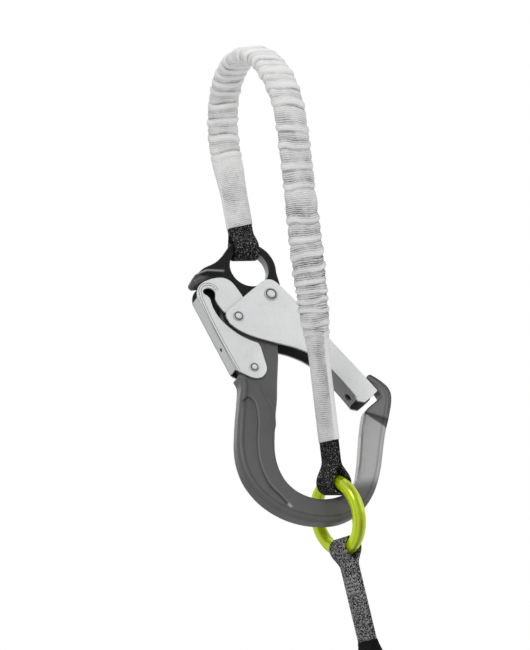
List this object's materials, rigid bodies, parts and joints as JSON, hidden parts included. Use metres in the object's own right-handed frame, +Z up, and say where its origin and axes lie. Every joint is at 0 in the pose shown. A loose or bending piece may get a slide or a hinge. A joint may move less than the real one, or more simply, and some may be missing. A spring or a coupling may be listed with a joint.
{
  "type": "tie-back lanyard",
  "caption": "Lanyard arm of gathered elastic webbing with a double-action hook, a tie-back ring and a sewn tail with an energy absorber and a harness loop.",
  "frame": {"origin": "top of the arch that the arm is hung over, on the arm's inner face", "axes": "+Z up, the way the lanyard hangs; +X along what the arm is hung over, towards the hook's nose; -Y towards the side that the ring end and the gate's rivets show on"},
  "size_m": [0.1456, 0.1393, 0.7071],
  "materials": {
    "sleeve_cloth": "gathered elastic polyester weave",
    "white_webbing": "flat woven polyester",
    "black_webbing": "flat woven polyester",
    "black_cloth": "close plain weave",
    "thread": "bonded sewing thread",
    "coated_alloy": "dark satin anodised forging",
    "zinc_steel": "matt zinc-plated sheet steel",
    "spring_steel": "bright drawn wire",
    "lime_alloy": "glossy lime anodised forging"
  },
  "bodies": {
    "arm": {"arm_sleeve": "sleeve_cloth", "arm_core_webbing": "white_webbing", "hook_end_loop": "black_webbing", "hook_end_chafe_guard": "black_cloth", "hook_end_stitching_front": "thread", "hook_end_stitching_back": "thread", "ring_end_loop": "black_webbing", "ring_end_chafe_guard": "black_cloth", "ring_end_stitching_front": "thread", "ring_end_stitching_back": "thread"},
    "hook": {"hook_body": "coated_alloy", "gate_pivot_rivet": "zinc_steel", "gate_pivot_washer": "zinc_steel", "lever_pivot_rivet": "zinc_steel", "gate_spring": "spring_steel", "lever_spring": "spring_steel"},
    "gate": {"gate_channel": "zinc_steel", "lock_pin": "zinc_steel"},
    "lever": {"lock_lever": "zinc_steel"},
    "ring": {"tie_back_ring": "lime_alloy"},
    "tail": {"tail_webbing": "black_webbing", "tail_stitching_front": "thread", "tail_stitching_back": "thread", "absorber_cover": "black_cloth", "absorber_tear_webbing": "white_webbing", "harness_loop": "black_webbing", "harness_loop_stitching_front": "thread", "harness_loop_stitching_back": "thread"}
  },
  "joints": [
    {"name": "hook_swing", "type": "hinge", "parent": "arm", "child": "hook", "pos_m": [-0.0115, 0.0524, -0.1392], "axis": [0.9955, -0.0132, -0.0937], "range_deg": [-0.7, 0]},
    {"name": "gate_open", "type": "hinge", "parent": "hook", "child": "gate", "pos_m": [-0.00404, 0.04214, -0.18363], "axis": [0, 0.9744, -0.225], "range_deg": [0, 30], "stiffness_Nm_per_rad": 0.5, "springref_deg": -28.65},
    {"name": "lever_open", "type": "hinge", "parent": "hook", "child": "lever", "pos_m": [-0.03604, 0.02862, -0.2422], "axis": [0, 0.9744, -0.225], "range_deg": [0, 12], "stiffness_Nm_per_rad": 0.3, "springref_deg": -22.92},
    {"name": "ring_swing", "type": "hinge", "parent": "arm", "child": "ring", "pos_m": [-0.001, -0.0055, -0.3442], "axis": [0.2079, -0.9578, -0.1982], "range_deg": [-8, 8]},
    {"name": "tail_swing", "type": "hinge", "parent": "ring", "child": "tail", "pos_m": [0.00022, 0.00004, -0.39579], "axis": [-0.2032, 0.9791, 0], "range_deg": [-35, 35]}
  ],
  "couplings": [
    {"joint": "lever_open", "follows": "gate_open", "ratio": 0.4}
  ]
}
